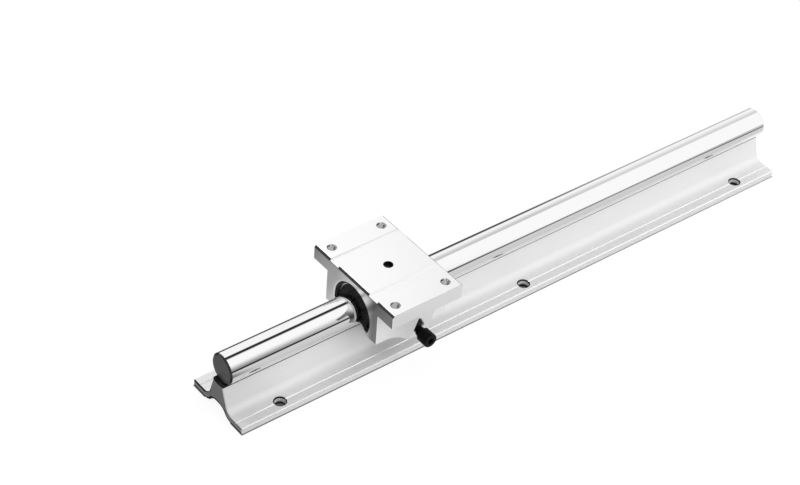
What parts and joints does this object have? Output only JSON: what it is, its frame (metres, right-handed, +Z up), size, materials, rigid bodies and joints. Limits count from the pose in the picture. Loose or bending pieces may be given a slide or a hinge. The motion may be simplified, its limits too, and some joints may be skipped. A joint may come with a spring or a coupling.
{
  "type": "supported round rail",
  "caption": "Polished round shaft on an extruded aluminium support, with a wide-plate open bearing carriage that slides along it.",
  "frame": {"origin": "under the middle of the rail, on the support's bottom face, at the centre of its foot bolts", "axes": "+X along the rail, away from the end that the carriage rests near; +Y across the foot, away from the lock screw; +Z up"},
  "size_m": [0.35, 0.0663, 0.043],
  "materials": {
    "support_aluminium": "extruded, clear anodised, fine lines along the length",
    "shaft_chrome": "ground and polished",
    "screw_steel": "black oxide",
    "block_aluminium": "milled, clear anodised satin",
    "bearing_steel": "ground",
    "cage_black": "moulded, black",
    "seal_rubber": "matte black",
    "ring_black": "black phosphate",
    "lock_screw_black": "black oxide"
  },
  "bodies": {
    "rail": {"rail_support": "support_aluminium", "shaft": "shaft_chrome", "shaft_screw_1": "screw_steel", "shaft_screw_2": "screw_steel", "shaft_screw_3": "screw_steel"},
    "carriage": {"carriage_block": "block_aluminium", "bearing_shell": "bearing_steel", "bearing_cage": "cage_black", "bearing_seal_1": "seal_rubber", "bearing_seal_2": "seal_rubber", "retaining_ring_1": "ring_black", "retaining_ring_2": "ring_black", "lock_screw": "lock_screw_black"}
  },
  "joints": [
    {"name": "carriage_travel", "type": "slide", "parent": "rail", "child": "carriage", "axis": [1, 0, 0], "range_m": [-0.0745, 0.2295]}
  ]
}
